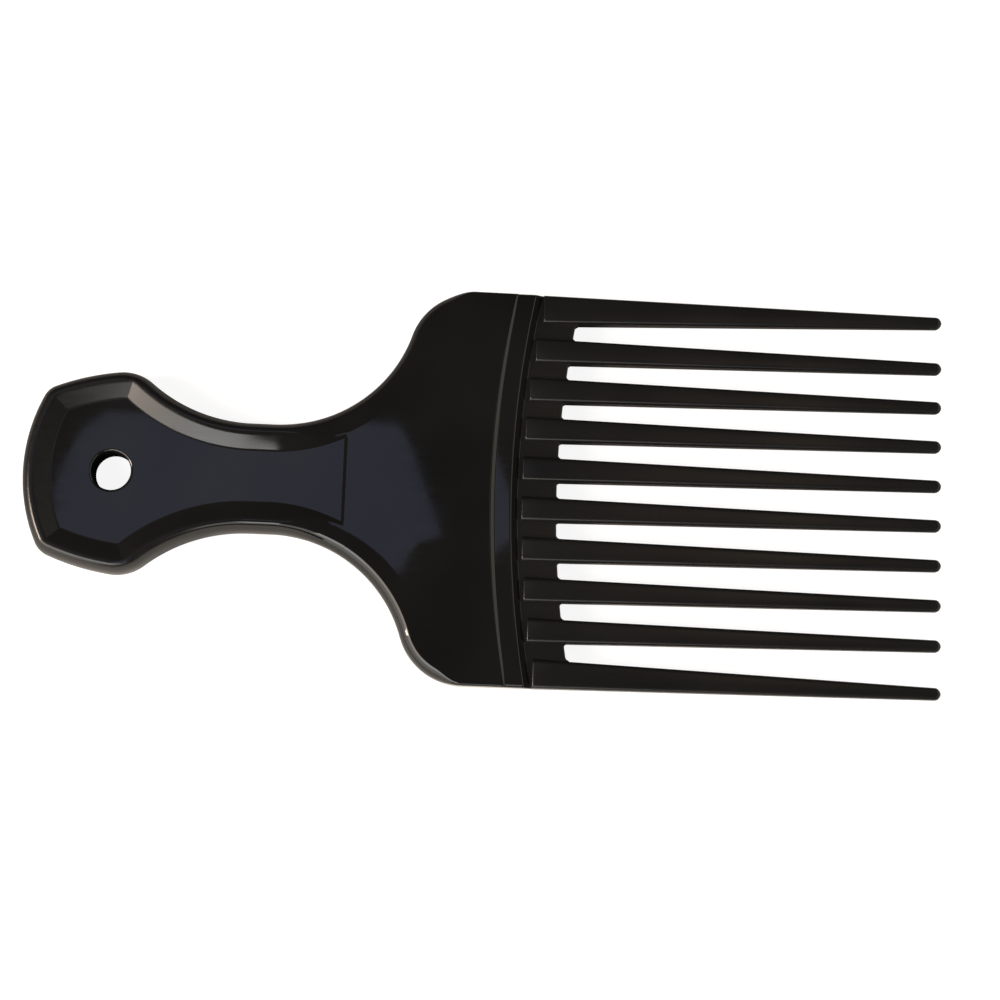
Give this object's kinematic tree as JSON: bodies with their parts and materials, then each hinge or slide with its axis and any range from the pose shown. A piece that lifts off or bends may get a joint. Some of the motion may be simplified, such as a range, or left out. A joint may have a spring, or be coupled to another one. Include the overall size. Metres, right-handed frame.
{
  "type": "afro pick",
  "caption": "Moulded hair pick: waisted handle with a raised rim and a hanging hole, flared head plate, curved bar and a row of long tapered teeth.",
  "frame": {"origin": "centre of the pick's outline, on the surface that the rim's back lies on", "axes": "+X from the handle's end to the tooth tips, +Y across the head, +Z out of the front face"},
  "size_m": [0.17, 0.0734, 0.0088],
  "materials": {
    "black_gloss_plastic": "gloss"
  },
  "bodies": {
    "root": {"handle": "black_gloss_plastic", "head_plate": "black_gloss_plastic", "tooth_bar": "black_gloss_plastic", "tooth_01": "black_gloss_plastic", "tooth_02": "black_gloss_plastic", "tooth_03": "black_gloss_plastic", "tooth_04": "black_gloss_plastic", "tooth_05": "black_gloss_plastic", "tooth_06": "black_gloss_plastic", "tooth_07": "black_gloss_plastic", "tooth_08": "black_gloss_plastic", "tooth_09": "black_gloss_plastic", "tooth_10": "black_gloss_plastic"}
  },
  "joints": []
}
